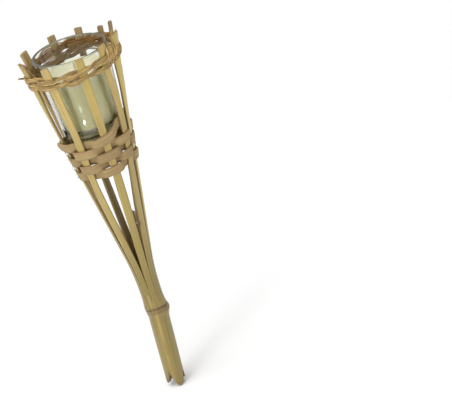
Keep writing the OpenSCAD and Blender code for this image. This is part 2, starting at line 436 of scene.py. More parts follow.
def glass_look():
    """Clear soda glass, a little green where it is thick, with faint flow marks from the mould; its base and
    lip are tinted darker as painted shade.
    """
    look = Look("glass")
    place = look.place()
    flow = look.noise(look.stretch(place, (55, 55, 24)), detail=2, rough=0.4)
    pit = look.noise(look.stretch(place, (900, 900, 900)), detail=2, rough=0.6)
    tint = look.ramp(flow, (0.35, (0.965, 0.985, 0.970)), (0.65, (0.990, 1.0, 0.992)))
    # Painted shade: the thick base is tinted darker.
    above_base = look.rise(place, GLASS_Z + GLASS_BASE - 1, 2)
    tint = look.mix(look.ramp(above_base, (0.0, 1.0), (1.0, 0.0)), tint, (0.64, 0.60, 0.52))
    # Painted shade: the lip is tinted darker grey-green and lets less light through.
    lip = look.rise(place, GLASS_Z + GLASS_H - 2.5, 2.5)
    tint = look.mix(look.ramp(lip, (0.0, 0.0), (0.8, 0.7)), tint, (0.48, 0.56, 0.36))
    look.set(Base_Color=tint, Roughness=look.ramp(pit, (0.45, 0.0), (0.85, 0.06)), IOR=1.5)
    look.set(Transmission_Weight=look.ramp(lip, (0.0, 1.0), (0.8, 0.84)))
    look.set(Normal=look.bump(flow, 0.0004, 0.25))
    volume = look.add("ShaderNodeVolumeAbsorption")
    volume.inputs["Color"].default_value = (0.65, 0.64, 0.46, 1)
    volume.inputs["Density"].default_value = 75
    look.tree.links.new(volume.outputs[0], look.out.inputs["Volume"])
    return look.material


def wax_look():
    """Cream candle wax, faintly mottled, lighter on its upper part."""
    look = Look("wax")
    place = look.place()
    cloud = look.noise(look.stretch(place, (120, 120, 90)), detail=4, rough=0.55)
    pore = look.noise(look.stretch(place, (1300, 1300, 1300)), detail=2, rough=0.6)
    colour = look.ramp(cloud, (0.35, (0.875, 0.805, 0.380)), (0.65, (0.910, 0.860, 0.470)))
    colour = look.mix(look.ramp(pore, (0.62, 0.0), (0.78, 0.35)), colour, (0.90, 0.87, 0.64))
    top = look.rise(place, CANDLE_Z + CANDLE_H - 9, 6)
    uneven = look.math("MULTIPLY_ADD", cloud, 0.8, -0.4)
    # The colour is made paler towards the top.
    upper_paling = look.ramp(look.math("ADD", top, uneven), (0.0, 0.0), (1.0, 0.8))
    colour = look.mix(upper_paling, colour, (0.90, 0.88, 0.70))
    look.set(Base_Color=colour, Roughness=look.ramp(cloud, (0.35, 0.36), (0.65, 0.50)))
    look.set(Subsurface_Weight=0.35, Subsurface_Radius=(1.0, 0.85, 0.5), Subsurface_Scale=0.004)
    look.set(Normal=look.bump(cloud, 0.0004, 0.35, look.bump(pore, 0.00008, 0.4)))
    return look.material


def cotton_look():
    """Waxed cotton yarn."""
    look = Look("cotton")
    straight = look.attribute("straight")
    yarn = look.noise(look.stretch(straight, (5200, 5200, 1300)), detail=3, rough=0.65)
    colour = look.ramp(yarn, (0.32, (0.520, 0.480, 0.380)), (0.68, (0.860, 0.830, 0.730)))
    look.set(Base_Color=colour, Roughness=look.ramp(yarn, (0.3, 0.62), (0.7, 0.85)), Sheen_Weight=0.25)
    look.set(Normal=look.bump(yarn, 0.00010, 0.9))
    return look.material


def tin_look():
    """Thin tinned steel, stamped, with fine scratches."""
    look = Look("tin")
    place = look.place()
    brushed = look.noise(look.stretch(place, (3600, 260, 900)), detail=3, rough=0.6)
    dull = look.noise(look.stretch(place, (260, 260, 260)), detail=3, rough=0.6)
    colour = look.ramp(dull, (0.35, (0.500, 0.500, 0.490)), (0.65, (0.700, 0.700, 0.690)))
    look.set(Base_Color=colour, Metallic=1.0, Roughness=look.ramp(brushed, (0.3, 0.26), (0.7, 0.46)))
    look.set(Normal=look.bump(brushed, 0.00004, 0.5))
    return look.material


def floor_look():
    look = Look("floor")
    cloud = look.noise(look.stretch(look.place(), (1.5, 1.5, 1.5)), detail=2, rough=0.5)
    white = look.ramp(cloud, (0.3, (0.95, 0.95, 0.95)), (0.7, (0.965, 0.965, 0.965)))
    look.set(Base_Color=white, Roughness=0.9)
    return look.material


BAMBOO, SPLINT, VINE = bamboo_look(), splint_look(), vine_look()
GLASS, WAX, COTTON, TIN = glass_look(), wax_look(), cotton_look(), tin_look()

# ---- Culm: hollow stake with four points, node ring, and the stub that the staves grow from ----
COLUMNS = 360
SLITS = [base_angle(i) + SHARE[i] / 2 for i in range(STAVES)]
# How far each slit runs down into the stub, in millimetres
SLIT_RUN = (3, 6, 5, 4, 7, 3, 5, 6, 4, 8)
# Height above the soil line, and how far the node stands proud of the culm there
NODE_SWELL = ((-4, 0.0), (0, 0.06), (3, 0.35), (6, 0.95), (8, 1.45), (9.3, 1.65), (10.6, 1.50),
              (12, 1.15), (14, 0.78), (17, 0.38), (21, 0.12), (25, 0.0))
# Middle angle, depth and half width of each notch between the points, and the length each point falls short
NOTCHES = ((-24, 10.0, 3.0), (66, 11.0, 2.8), (156, 9.5, 3.2), (246, 10.5, 2.8))
POINT_SHORT = ((21, 0.0), (111, 1.6), (201, 0.8), (291, 3.6))


def stake_end(a):
    """Length of the stake at angle a: four blunt points with rounded shoulders."""
    short = min(POINT_SHORT, key=lambda p: abs(turn_apart(a, p[0])))[1]
    cut = 0.0
    for middle, depth, half in NOTCHES:
        off = turn_apart(a, middle)
        if abs(off) >= 80:
            continue
        aside = abs(STAKE_R_END * math.sin(math.radians(off)))
        notch = ((0, depth), (half - 1.6, depth - 0.5), (half - 0.6, depth - 2.6), (half, 3.6),
                 (half + 1.1, 1.7), (half + 3.2, 0.0))
        cut = max(cut, table(aside, notch))
    rag = 0.16 * wave(a / 7, 3) + 0.10 * wave(a / 2.2, 5)
    return STAKE_LEN - short - cut + rag


def node_line(a, z):
    """Height above the dark line that runs round the node."""
    return z - LINE_Z - LINE_RISE * math.cos(math.radians(a - LINE_TURN)) - 0.25 * wave(a / 25, 14)


def culm_radius(a, z):
    side = math.sin(math.radians(a))
    proud = table(z + 2.3 + 2.1 * side, NODE_SWELL) * (1.0 + 0.44 * side + 0.05 * wave(a / 30, 8))
    proud -= 0.38 * math.exp(-((node_line(a, z) / 0.7) ** 2))
    body = CULM_R if z > 2 else lerp(STAKE_R_TOP, STAKE_R_END, clamp(-z / STAKE_LEN))
    if 0 <= z <= 2:
        body = lerp(STAKE_R_TOP, CULM_R, z / 2)
    return body + proud + 0.10 * wave3(math.cos(math.radians(a)), math.sin(math.radians(a)), z / 26, 2)


def lean(p):
    """The stake leans to the left below the node; the bend is taken up over the node's height."""
    t = math.radians(STAKE_LEAN) * ease((5 - p.z) / 10)
    return Vector((p.x * math.cos(t) + p.z * math.sin(t), p.y, -p.x * math.sin(t) + p.z * math.cos(t)))


def lightness_with_painted_highlight(a, z):
    """Lightness of the culm's skin, with a painted highlight: a pale streak runs down its front, a little
    left of the middle.
    """
    off = turn_apart(a, -14 if z < 8 else -25)
    on_ring = 1 if z < 4 or z > 14 else 0.3
    pale = math.exp(-(off / 6) ** 2) * (0.75 + 0.25 * wave(z / 9, 15)) * on_ring
    return 0.2 + 0.42 * pale


def node_stain(a, z):
    """How dark the skin is at the line round the node, and at the thin one under it."""
    line_z = node_line(a, z)
    line = 1.15 * math.exp(-((line_z / 1.25) ** 2))
    thin_line = 0.55 * math.exp(-(((line_z + 4.2) / 0.8) ** 2))
    return min(1.0, line + thin_line + 0.25 * (-4.2 < line_z < 0))


def culm():
    shape = Shape()
    outer_levels = [25.9 - 0.7 * k for k in range(18)] + [13.5 - 0.35 * k for k in range(28)]
    outer_levels += [3.4, 2.6, 1.6, 0.5, -0.7, -2, -4]
    down = [k / 44 for k in range(1, 45)]
    columns = []
    for c in range(COLUMNS):
        a = 360 * c / COLUMNS
        slit = min(range(STAVES), key=lambda i: abs(turn_apart(a, SLITS[i])))
        off = abs(turn_apart(a, SLITS[slit]))
        end = stake_end(a)
        line = []

        def add(r, z, skin, worn=0.0):
            flat = around(r, a, z)
            line.append(shape.point(lean(flat), flat * MM, (skin, worn, lightness_with_painted_highlight(a, z))))

        # Inside the stub, from its floor up to its rim
        add(2.5, 9.6, 0)
        add(5.0, 9.8, 0)
        add(6.2, 10.4, 0)
        add(CULM_R - WALL, 12, 0)
        add(CULM_R - WALL, 19, 0)
        add(CULM_R - WALL, 25.9, 0)
        add(CULM_R - WALL + 0.1, SPLIT_Z, 0)
        add(CULM_R - 0.1, SPLIT_Z, 0)
        # Down the outside, past the node, to the points
        for z in outer_levels:
            groove = 0.0
            if off < 0.8:
                groove = 0.9 * clamp((z - (SPLIT_Z - SLIT_RUN[slit])) / SLIT_RUN[slit])
            add(culm_radius(a, z) - groove, z, 1.0 - 0.9 * (groove > 0.1), node_stain(a, z))
        for t in down:
            z = lerp(-4, -(end - 0.15), t)
            tip = ease((t - 0.88) / 0.12)
            left = math.exp(-((turn_apart(a, 300) / 28) ** 2))
            stain = tip * clamp(0.2 + 0.8 * wave(a / 40, 12) + left) + 0.5 * left * ease((t - 0.8) / 0.2)
            add(culm_radius(a, z), z, 1.0 - 0.2 * tip, stain)
        # Over the end and up inside the stake
        add(STAKE_R_END - 0.15, -end, 0.1, 0.5)
        add(STAKE_R_END - WALL + 0.25, -end, 0.0, 0.5)
        for t in (0, 0.05, 0.15, 0.4, 0.7, 1):
            add(STAKE_R_END - WALL, lerp(-(end - 0.2), -3.2, t), 0.0, 0.4)
        add(4.6, -2.4, 0)
        add(2.4, -2.1, 0)
        columns.append(line)
    for c in range(COLUMNS):
        a, b = columns[c], columns[(c + 1) % COLUMNS]
        for k in range(len(a) - 1):
            shape.faces.append((a[k], b[k], b[k + 1], a[k + 1]))
    top = shape.point((0, 0, 9.5), (0, 0, 9.5 * MM))
    shape.fan([line[0] for line in columns], top)
    under = shape.point(lean(Vector((0, 0, -2.0))), (0, 0, -2.0 * MM))
    shape.fan([line[-1] for line in reversed(columns)], under)
    return piece("culm_body", shape, BAMBOO, "torch", ["culm"])


# ---- Staves ----
# Width of a stave along its height, against its share of the culm, and the same at each stave's top
STAVE_WIDTH = ((26, 1.0), (40, 1.02), (60, 1.10), (85, 1.20), (120, 1.20), (150, 1.12), (195, 1.14))
TOP_WIDTH = (1.32, 1.30, 1.42, 0.78, 1.08, 1.05, 1.30, 1.30, 1.40, 1.28)
# How far each stave has turned on its own axis at its top, in degrees
STAVE_TWIST = (2, -5, -25, 8, -8, 4, -4, -24, 22, 5)
TWIST_Z, TWIST_RUN = 200, 76
# Lightness of each stave (its own tone, with painted shade on the staves round the side and back), the
# sideways slope of its cut end, and how dark the end is
STAVE_TONE_AND_PAINTED_SHADE = (0.56, 0.54, 0.90, 0.20, 0.45, 0.55, 0.45, 0.62, 0.46, 0.58)
END_SLANT = (0.0, 0.05, 0.2, 0.1, -0.12, 0.04, -0.05, -0.20, -0.12, 0.12)
END_DARK = (0.25, 0.35, 0.2, 0.7, 0.9, 0.7, 0.4, 0.5, 0.5, 0.3)
# The staves counted from 0: one has a lifted splinter, one a frayed end and the knot, one a long dark end
SPLINTERED, FRAYED, BURNT = 0, 2, 4
# The splinter's lift off the stave's edge, down its length, and its strips (share of the lift, radius, inset)
SPLINTER_TOP, SPLINTER_LEN = 121, 29
SPLINTER_LIFT = ((-121, -0.4), (-118, 0.6), (-115, 3.4), (-111, 2.0), (-107, 2.6), (-102, 4.8),
                 (-98, 3.2), (-92, -0.3))
SPLINTER_STRIPS = ((1.0, 0.8, 0.0), (0.62, 0.8, 1.0), (0.3, 0.8, 0.4))
# Where a stave's right-hand edge is in its section
EDGE_POINT = 13


def wall_at(z):
    return WALL * (1 - WALL_THIN * math.exp(-((z - THIN_Z) / THIN_RUN) ** 2))


def stave_twist(i, z):
    return STAVE_TWIST[i] * ease((z - TWIST_Z) / TWIST_RUN)


def stave_section(i, z):
    """(points in plan, their places in the unsplit culm, whether each is skin) of stave i at height z."""
    width = lerp(table(z, STAVE_WIDTH), TOP_WIDTH[i], ease((z - WEAVE_TOP) / 60))
    width *= 1 + 0.04 * wave(z / 38, i + 1) * ease((z - 30) / 30)
    half = (SHARE[i] / 2) * width - 0.5 * ease((z - SPLIT_Z) / 12)
    wall = wall_at(z) * (1 + 0.05 * wave(z / 30, i + 21))
    turn = base_angle(i)
    a = stave_angle(i, z) + 0.6 * wave(z / 45, i + 41) * ease((z - 40) / 40)
    shift = outer_r(z) - CULM_R
    middle = CULM_R - WALL / 2
    twist = math.radians(stave_twist(i, z))
    section = [(CULM_R - 0.45, -1.0, 0.2), (CULM_R - 0.12, -0.985, 0.7), (CULM_R, -0.94, 1)]
    section += [(CULM_R, b, 1) for b in (-0.72, -0.46, -0.2, 0, 0.2, 0.46, 0.72)]
    section += [(CULM_R, 0.94, 1), (CULM_R - 0.12, 0.985, 0.7), (CULM_R - 0.45, 1.0, 0.2)]
    section += [(CULM_R - wall / 2, 1.0, 0), (CULM_R - wall + 0.3, 0.99, 0), (CULM_R - wall, 0.93, 0)]
    section += [(CULM_R - wall, b, 0) for b in (0.6, 0.2, -0.2, -0.6)]
    section += [(CULM_R - wall, -0.93, 0), (CULM_R - wall + 0.3, -0.99, 0), (CULM_R - wall / 2, -1.0, 0)]
    points, flats, skins = [], [], []
    for k, (r, b, skin) in enumerate(section):
        if not skin:
            r += 0.10 * wave3(b * 3, z / 16, i * 3.3, 5)
        local = around(r, b * half, 0)
        local.y += middle
        if twist:
            local.rotate(Matrix.Rotation(twist, 3, "Z"))
        local.y -= middle + shift
        local.rotate(Matrix.Rotation(math.radians(a), 3, "Z"))
        points.append(Vector((local.x, local.y, z)))
        flats.append(around(r, turn + b * half, z))
        skins.append(skin)
    return points, flats, skins


def splinter(shape, i):
    """A ragged splinter that has lifted from the stave's right-hand edge."""
    for k, (part, thick, inset) in enumerate(SPLINTER_STRIPS):
        line = []
        for t in range(31):
            z = SPLINTER_TOP - SPLINTER_LEN * t / 30
            lift = table(-z, SPLINTER_LIFT)
            out = around(1, stave_angle(i, z) + 90, 0)
            edge = stave_section(i, z)[0][EDGE_POINT]
            line.append(edge + out * (lift * part) - around(inset, stave_angle(i, z), 0))
        tube(shape, line, thick, flat=0.6, sides=7, tone=(0.3, 0.8, 0.25), rough=0.4, seed=k + 5,
             taper=(0.5, 0.4))


def frayed_end(shape, i):
    """Fibres that stand up from the stave's split end."""
    for k in range(11):
        foot = stave_section(i, TOP_Z[i] - 3.2)[0][2 + k % 9] * 1.0
        inward = Vector((-foot.x, -foot.y, 0)).normalized()
        foot += inward * (0.7 + 0.35 * (k % 3))
        rise = Vector((0.7 * wave(k, 71), 0.7 * wave(k, 73), 5.5 + 2.6 * wave(k, 75)))
        tip = foot + rise - inward * (0.8 + 0.9 * wave(k, 77))
        path = [foot.lerp(tip, t / 5) for t in range(6)]
        tube(shape, path, 0.32, sides=6, tone=(0.75, 0.1, 0.95), rough=0.25, seed=k, taper=(1, 0.4))


def stave(i):
    shape = Shape()
    top = TOP_Z[i]
    levels = [SPLIT_Z + (top - 0.35 - SPLIT_Z) * k / 84 for k in range(85)]
    rings = []
    for k, z in enumerate(levels + [top]):
        points, flats, skins = stave_section(i, min(z, top))
        last = k == len(levels)
        heart = sum(points, Vector()) / len(points)
        end = END_DARK[i] * math.exp(-(top - z) / (16 if i == BURNT else 5.5))
        # Painted shade and light: each stave is darker towards its foot and lighter from the glass upwards.
        shade = lerp(0.2, STAVE_TONE_AND_PAINTED_SHADE[i], ease((z - 26) / 120)) + 0.24 * ease((z - 195) / 30)
        ring = []
        for j, (p, flat, skin) in enumerate(zip(points, flats, skins)):
            if last:
                p = heart + (p - heart) * 0.94
            near = ease((z - top + 25) / 25)
            side = (p - heart).dot(around(1, stave_angle(i, z) + 90, 0))
            p = p + Vector((0, 0, near * END_SLANT[i] * side))
            if z > top - 1:
                p.z += 0.22 * wave(j * 0.9, i + 61)
            # Painted shade: the frayed stave's cut edges and inside are much darker.
            light = 0.12 if i == FRAYED and not skin else shade
            ring.append(shape.point(p, flat * MM, (0.0 if last else skin, end, light)))
        rings.append(ring)
    shape.skin(rings)
    if i == SPLINTERED:
        splinter(shape, i)
    if i == FRAYED:
        frayed_end(shape, i)
    node = f"stave_{i + 1:02d}"
    return piece(f"{node}_split", shape, BAMBOO, "torch", [node])


# ---- Basket weave ----
ROW_SHADE = (0.28, 0.36, 0.18, 0.22, 0.28)
# The stave at which each row's ends lap, and half the lap in degrees
LAP_STAVE = (8, 5, 4, 7, 2)
LAP_HALF = 13.0
# The top row is pushed up at the front right: height, angle and spread
ARCH, ARCH_TURN, ARCH_SPREAD = 9.0, 50.0, 27.0
# A splint's section: (share of its half width, share of its thickness), and how far its middle stands out
SPLINT_OUTLINE = ((-1, 0.0), (-0.97, 0.36), (-0.86, 0.5), (-0.5, 0.5), (0, 0.5), (0.5, 0.5), (0.86, 0.5),
                  (0.97, 0.36), (1, 0.0), (0.97, -0.36), (0.86, -0.5), (0.45, -0.5), (-0.45, -0.5),
                  (-0.86, -0.5), (-0.97, -0.36))
CROWN = 0.28
TORN_TURN = 276


def row_z(row, a):
    """Height of the row's middle line at angle a."""
    t = math.radians(a)
    away = turn_apart(a, ARCH_TURN)
    z = WEAVE_TOP - (row + 0.5) * ROW_PITCH + 2.5 * math.sin(t) - 1.5 * (1 - math.cos(t))
    if row == 0:
        z += ARCH * math.exp(-((away / ARCH_SPREAD) ** 2))
    return z


def side_of(i, row):
    """1 where the row passes outside stave i, -1 inside; the top row also goes inside the frayed stave."""
    return -1 if (i + row) % 2 == 1 or (row == 0 and i % STAVES == FRAYED) else 1


def over_under(a, z, row):
    """How far out the row runs at angle a, from -1 inside the staves to 1 outside them."""
    i, u = between(a, z)
    turn = math.sin(math.radians(90 * clamp(1.4 * math.cos(math.pi * u), -1, 1)))
    return (side_of(i, row) * (1 + turn) + side_of(i + 1, row) * (1 - turn)) / 2


def torn_fibres(shape, row):
    """Short fibres that stand off the row at the left."""
    for k in range(7):
        a = TORN_TURN + 14 * wave(k * 1.9 + row * 3.1, 201)
        z = row_z(row, a) + 3.4 * wave(k * 1.3 + row, 203)
        root = around(outer_r(z) + 0.6 + 0.5 * wave(k, 205), a, z)
        run = around(1, a + 90, 0) * (1 if k % 2 else -1)
        line = []
        for t in range(7):
            curl = around(1.6 * (t / 6) ** 2, a, 0) + Vector((0, 0, 1.1 * wave(k, 207) * t / 6))
            line.append(root + run * (3.6 * t / 6) + curl)
        tube(shape, line, 0.26 + 0.1 * wave(k, 209), flat=0.6, sides=6,
             tone=(1, 2.2 if k % 3 else 0.4, 0.2), rough=0.3, seed=k, taper=(1, 0.3))


def weave_row(row):
    """A flat, slightly crowned splint, woven all the way round, with its last end lapped over its first."""
    shape = Shape()
    steps = 330
    start = stave_angle(LAP_STAVE[row], WEAVE_TOP) - LAP_HALF
    span = 360 + 2 * LAP_HALF
    out_shift = SPLINT_T / 2 + GAP
    rings, along = [], 0.0
    for k in range(steps + 1):
        t = span * k / steps
        a = start + t
        z = row_z(row, a) + 0.12 * wave(a / 14, row + 81)
        w = over_under(a, z, row)
        # One end steps out over the other where they lap
        over = ease((26 - t) / 22) if row == 0 else ease((t - 334) / 26)
        in_shift = -(wall_at(z) + 0.55 + SPLINT_T / 2 + GAP)
        r = outer_r(z) + (w + 1) / 2 * out_shift + (1 - w) / 2 * in_shift + over * (SPLINT_T + GAP)
        slope = (row_z(row, a + 1) - row_z(row, a - 1)) / (r * math.radians(2))
        end = min(t, span - t) / span * 360
        half = (4.12 + 0.45 * ease(abs(w))) * (1 + 0.03 * wave(a / 11, row + 91))
        half *= lerp(0.72, 1, ease(end / 5)) * math.sqrt(1 + slope * slope)
        dark = 0.0
        if row == 0:
            # Its end springs away from the basket at the left
            r += 2.2 * clamp((10 - t) / 10) ** 1.5
            half *= lerp(0.62, 1, ease(t / 5))
            # Painted shade: the tip of this end is darkened.
            dark = ease((3 - t) / 3)
        # Between the staves each splint stands up straight, so that it shingles over the one below
        tilt = SPLAY * ease(abs(w)) + 0.03 * wave(a / 16, row + 101)
        thick = SPLINT_T * (1 + 0.08 * wave(a / 9, row + 111))
        along += r * math.radians(span / steps) * math.sqrt(1 + slope * slope)
        ring = []
        for y, x in SPLINT_OUTLINE:
            up = y * half + (0.10 * wave(a / 5, row * 2 + (y > 0) + 121) if abs(y) > 0.9 else 0)
            bulge = CROWN * (1 - y * y) if x > 0 else CROWN * 0.5 * (1 - y * y)
            p = around(r + x * thick + bulge - CROWN * 0.5 + tilt * up, a, z + up)
            flat = (x * thick * MM, up * MM, (along + row * 400) * MM)
            outer = 1.0 if x > 0 else 0.0
            edge = ease((abs(y) - 0.8) / 0.2)
            ring.append(shape.point(p, flat, (outer, max(edge, 2.2 * dark), ROW_SHADE[row])))
        rings.append(ring)
    shape.skin(rings)
    torn_fibres(shape, row)
    node = f"weave_row_{row + 1:02d}"
    return piece(f"{node}_splint", shape, SPLINT, "torch", [node])


# ---- Twined binding ----
STRAND_T = 1.8
# The thinner vines laid along each strand: start and length in degrees, share of the usual distance up or
# down from the strand, radius, and shade
THIN_VINES = ((-20, 352, 1, 0.50, 0.35), (150, 200, -1, 0.40, 0.6), (300, 215, -1, 0.36, 0.8),
              (100, 190, 1.7, 0.50, 0.3), (95, 170, -2.0, 0.44, 0.4), (110, 160, 1.2, 0.48, 0.7),
              (110, 160, -1.3, 0.50, 0.5), (120, 140, 0.6, 0.55, 0.2))


def bump_at(a, middle, half):
    """1 at the angle middle, falling smoothly to 0 at half degrees either side."""
    return ease(1 - abs(turn_apart(a, middle)) / half)


def binding_rise(a):
    return 3 * math.sin(math.radians(a))


def strand_point(a, pair, first, seed):
    """Middle of the strand at angle a. pair is 0 for the upper pair and 1 for the lower."""
    apart = 1 + 0.30 * bump_at(a, 46, 20) - 0.6 * bump_at(a, 76, 24)
    z = BINDING_Z + (0.5 if pair == 0 else -0.5) * PAIR_PITCH * apart + binding_rise(a)
    z -= 2.4 * pair * bump_at(a, 200, 75) + 2.0 * (1 - pair) * bump_at(a, 135, 60)
    i, u = between(a, z)
    wind = math.pi * (ease(u) + i + (0 if first else 1) + pair)
    out = STRAND_T / 2 + GAP
    inward = WALL + 0.7 + STRAND_T / 2 + GAP
    nearest = i if u < 0.5 else i + 1
    twist = math.radians(stave_twist(nearest % STAVES, z))
    wide = 2.6 * abs(math.sin(twist)) * ease(1 - 2 * min(u, 1 - u))
    middle = outer_r(z) + (out - inward) / 2
    r = middle + ((out + inward) / 2 + wide) * math.cos(wind)
    rise = 1.2 * math.sin(wind)
    z += rise + 0.55 * wave(a / 23, seed) + 0.2 * wave(a / 8, seed + 3)
    r += 0.16 * wave(a / 17, seed + 5)
    return around(r, a, z)


def strand(pair, first):
    name = f"twine_{'upper' if pair == 0 else 'lower'}_{'a' if first else 'b'}"
    seed = 131 + 2 * pair + first
    shape = Shape()
    steps = 420
    path = [strand_point(360 * k / steps, pair, first, seed) for k in range(steps)]
    tube(shape, path, lambda t: 0.88 * (1 + 0.16 * wave(t * 21, seed + 11)), flat=0.78, sides=12,
         tone=(0, 0, 0.22 + 0.16 * first), rough=0.30, seed=seed, up=radial, loop=True)
    for extra, (begin, length, side, thick, shade) in enumerate(THIN_VINES):
        side *= (1 if pair else -1) * (1 if first else -1)
        line = []
        for k in range(260):
            a = begin + 35 * pair + length * k / 259
            p = strand_point(a % 360, pair, first, seed)
            away = 1.5 + 0.22 * wave(a / 13, seed + 17 + extra)
            sway = radial(p) * (0.45 * wave(a / 19, seed + 51 + extra))
            line.append(p + sway + Vector((0, 0, side * away)))
        tube(shape, line, lambda t: thick * (1 + 0.2 * wave(t * 16, seed + 19)), sides=8,
             tone=(0, 0, shade), rough=0.25, seed=seed + extra, taper=(0.35, 0.35), up=radial)
    # Loose fibres
    for k in range(16):
        a = 360 * (k + 0.5 * wave(k, seed + 23)) / 16
        root = strand_point(a % 360, pair, first, seed)
        out = radial(root)
        run = 1 if wave(k * 1.7, seed + 29) > 0 else -1
        bend = Vector((0, 0, 1.5 * wave(k, seed + 31))) + out * (0.7 + 0.5 * wave(k, seed + 37))
        side = Vector((-out.y, out.x, 0)) * run
        line = [root + out * 0.7 + side * (4.2 * t / 5) + bend * (t / 5) ** 2 for t in range(6)]
        tube(shape, line, 0.16, sides=5, tone=(0, 0.0, 0.8), seed=k, taper=(1, 0.3))
    return piece(f"{name}_vine", shape, VINE, "torch", [name])


def binding_knot():
    """The tied ends: turns round the right-hand stave with frayed fibres, and a dry tail at the left."""
    shape = Shape()
    for turn_no in range(2):
        line = []
        for k in range(61):
            t = k / 60
            z = BINDING_Z - 1.5 + 2.1 * turn_no + 2.2 * t + binding_rise(85)
            points = stave_section(FRAYED, z)[0]
            heart = sum(points, Vector()) / len(points)
            b = 2 * math.pi * t + turn_no * 0.7
            out = around(1, stave_angle(FRAYED, z), 0)
            side = Vector((-out.y, out.x, 0))
            deep = 2.5 + 0.2 * wave(t * 3, 141 + turn_no)
            wide = 4.4 + 0.3 * wave(t * 3, 151 + turn_no)
            line.append(heart + out * (deep * math.cos(b)) + side * (wide * math.sin(b)))
        tube(shape, line, lambda t: 0.70 * (1 + 0.2 * wave(t * 7, 143)), sides=10, tone=(0, 0, 0.65),
             rough=0.3, seed=161 + turn_no, taper=(0.4, 0.4))
    # Frayed ends: a fan of flat fibres up the stave, and thinner ones that stray
    for k in range(52):
        broad = k < 28
        a = 52 + (12 if broad else 16) * wave(k * 1.3, 171)
        z = BINDING_Z + (2.5 + 1.5 * wave(k * 1.1, 173) if broad else 3 + 4 * wave(k * 1.1, 173))
        root = around(outer_r(z) + 1.3 + 1.1 * abs(wave(k, 175)), a, z)
        rise = 13 + 3.5 * wave(k * 0.9, 177) if broad else 6.5 + 5.5 * wave(k * 0.9, 177)
        if not broad and k % 4 == 0:
            rise = -rise * 0.5
        lean_to = Vector((-0.2 + 1.2 * wave(k, 179), 1.5 * wave(k, 181), rise))
        bow = radial(root) * (0.6 + 0.8 * wave(k, 183))
        line = [root + lean_to * (t / 9) + bow * math.sin(math.pi * t / 9) for t in range(10)]
        tube(shape, line, (0.55 if broad else 0.24) + 0.14 * abs(wave(k, 185)), flat=0.6, sides=7,
             tone=(0, 0, 0.55 + 0.45 * wave(k * 2.3, 187)), rough=0.2, seed=k, taper=(1, 0.35), up=radial)
    # The dry tail
    start = strand_point(272, 0, True, 134)
    tail = []
    for k in range(11):
        t = 0.5 * k
        tail.append(start + Vector((-1.2 * t, -0.35 * t, 0.35 * t + 0.05 * t * t - 0.012 * t ** 3)))
    tube(shape, tail, lambda t: 0.85 - 0.25 * t, sides=9, tone=(0, 0.85, 0.6), rough=0.35, seed=191,
         taper=(1, 0.6))
    twig = [tail[6] + Vector((-0.5 * t, -0.2 * t, 0.75 * t)) for t in range(4)]
    tube(shape, twig, 0.35, sides=7, tone=(0, 0.85, 0.6), rough=0.3, seed=193, taper=(1, 0.5))
    return piece("twine_knot", shape, VINE, "torch")


# ---- Turned pieces ----
def turned(shape, outline, sides=160, drift=None, tone=(0, 0, 0)):
    """Revolves (radius, height) points, from axis to axis. drift(a, r, z) moves a point."""
    rings = []
    for r, z in outline[1:-1]:
        ring = []
        for j in range(sides):
            a = 360 * j / sides
            dr, dz = drift(a, r, z) if drift else (0, 0)
            p = around(r + dr, a, z + dz)
            ring.append(shape.point(p, p * MM, tone))
        rings.append(ring)
    shape.skin(rings, caps=False)
    first = shape.point((0, 0, outline[0][1]), (0, 0, 0), tone)
    last = shape.point((0, 0, outline[-1][1]), (0, 0, 0), tone)
    shape.fan(list(reversed(rings[0])), first)
    shape.fan(rings[-1], last)


def arc(cx, cy, r, start, end, n):
    """n steps round the centre (cx, cy), from the angle start to the angle end."""
    angles = [math.radians(lerp(start, end, k / n)) for k in range(n + 1)]
    return [(cx + r * math.cos(t), cy + r * math.sin(t)) for t in angles]


def line_of(p, q, n):
    """Points between p and q, without its two ends."""
    return [(lerp(p[0], q[0], k / n), lerp(p[1], q[1], k / n)) for k in range(1, n)]


def glass_cup():
    heel, lip, bowl = 3.2, GLASS_WALL / 2, 3.0
    foot = arc(GLASS_FOOT_R - heel, heel, heel, -90, 0, 14)
    rim = arc(GLASS_RIM_R - lip, GLASS_H - lip, lip, 0, 180, 16)
    inner = arc(GLASS_FOOT_R - GLASS_WALL - bowl, GLASS_BASE + bowl, bowl, 0, -90, 12)
    # The foot is hollowed a little, so that the cup stands on a ring
    outline = [(0, 1.3), (6, 1.25), (12, 1.05), (18, 0.75), (21, 0.35), (22.4, 0.08), (23.4, 0.0)] + foot
    outline += line_of(foot[-1], rim[0], 30) + rim + line_of(rim[-1], inner[0], 30) + inner
    outline += [(20, GLASS_BASE), (12, GLASS_BASE), (5, GLASS_BASE), (0, GLASS_BASE)]
    shape = Shape()

    def drift(a, r, z):
        t = math.radians(a)
        return 0.035 * wave3(1.3 * math.cos(t), 1.3 * math.sin(t), z / 24, 6), 0

    turned(shape, [(r, z + GLASS_Z) for r, z in outline], sides=200, drift=drift)
    return piece("glass_tumbler", shape, GLASS, "glass", ["glass_cup"], sharp=60)


